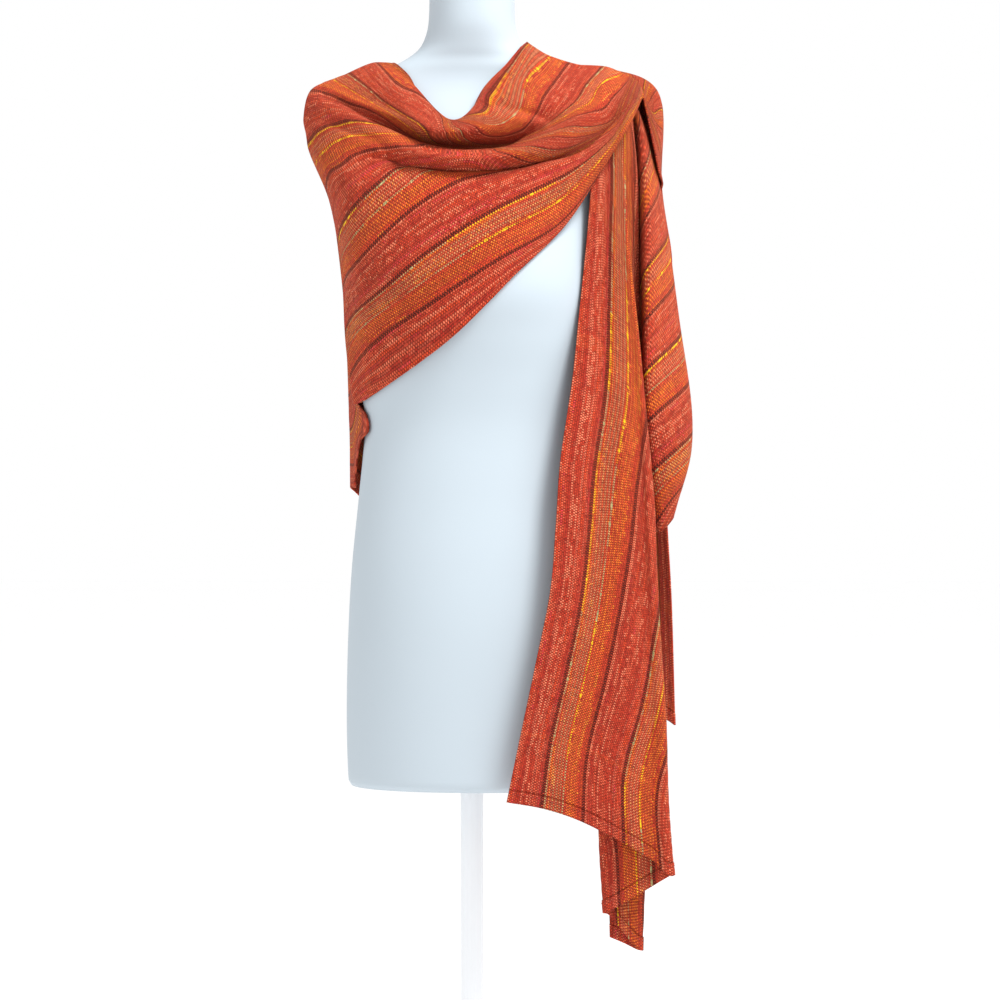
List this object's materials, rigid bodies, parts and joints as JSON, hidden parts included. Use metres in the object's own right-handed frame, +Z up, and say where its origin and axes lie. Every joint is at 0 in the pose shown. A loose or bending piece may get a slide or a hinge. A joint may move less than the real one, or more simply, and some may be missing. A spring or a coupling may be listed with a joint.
{
  "type": "shawl on dress form",
  "caption": "Handwoven striped shawl draped over one shoulder, across the chest and down the back of a limbless dress form on a round-based stand.",
  "frame": {"origin": "on the floor, at the centre of the underside of the stand's round base", "axes": "+Z up; the form faces -Y; +X towards the shoulder that both ends of the shawl hang from"},
  "size_m": [0.4292, 0.3736, 1.5035],
  "materials": {
    "front_cloth": "matt handwoven cotton, rust with dark, orange, yellow and sage warp stripes",
    "front_hem_cloth": "matt handwoven cotton, turned and sewn",
    "wrap_cloth": "matt handwoven cotton, rust with warp stripes",
    "chest_cloth": "matt handwoven cotton, rust with warp stripes",
    "back_cloth": "matt handwoven cotton, rust with warp stripes",
    "back_hem_cloth": "matt handwoven cotton, turned and sewn",
    "form_skin": "smooth satin white",
    "form_cap": "smooth satin white",
    "pole_paint": "white powder coat",
    "collar_paint": "white powder coat",
    "base_paint": "white powder coat"
  },
  "bodies": {
    "root": {"front_fall": "front_cloth", "front_hem": "front_hem_cloth", "back_wrap": "wrap_cloth", "chest_drape": "chest_cloth", "back_fall": "back_cloth", "back_hem": "back_hem_cloth", "form_body": "form_skin", "neck_cap": "form_cap", "form_pole": "pole_paint", "form_collar": "collar_paint", "form_base": "base_paint"}
  },
  "joints": []
}
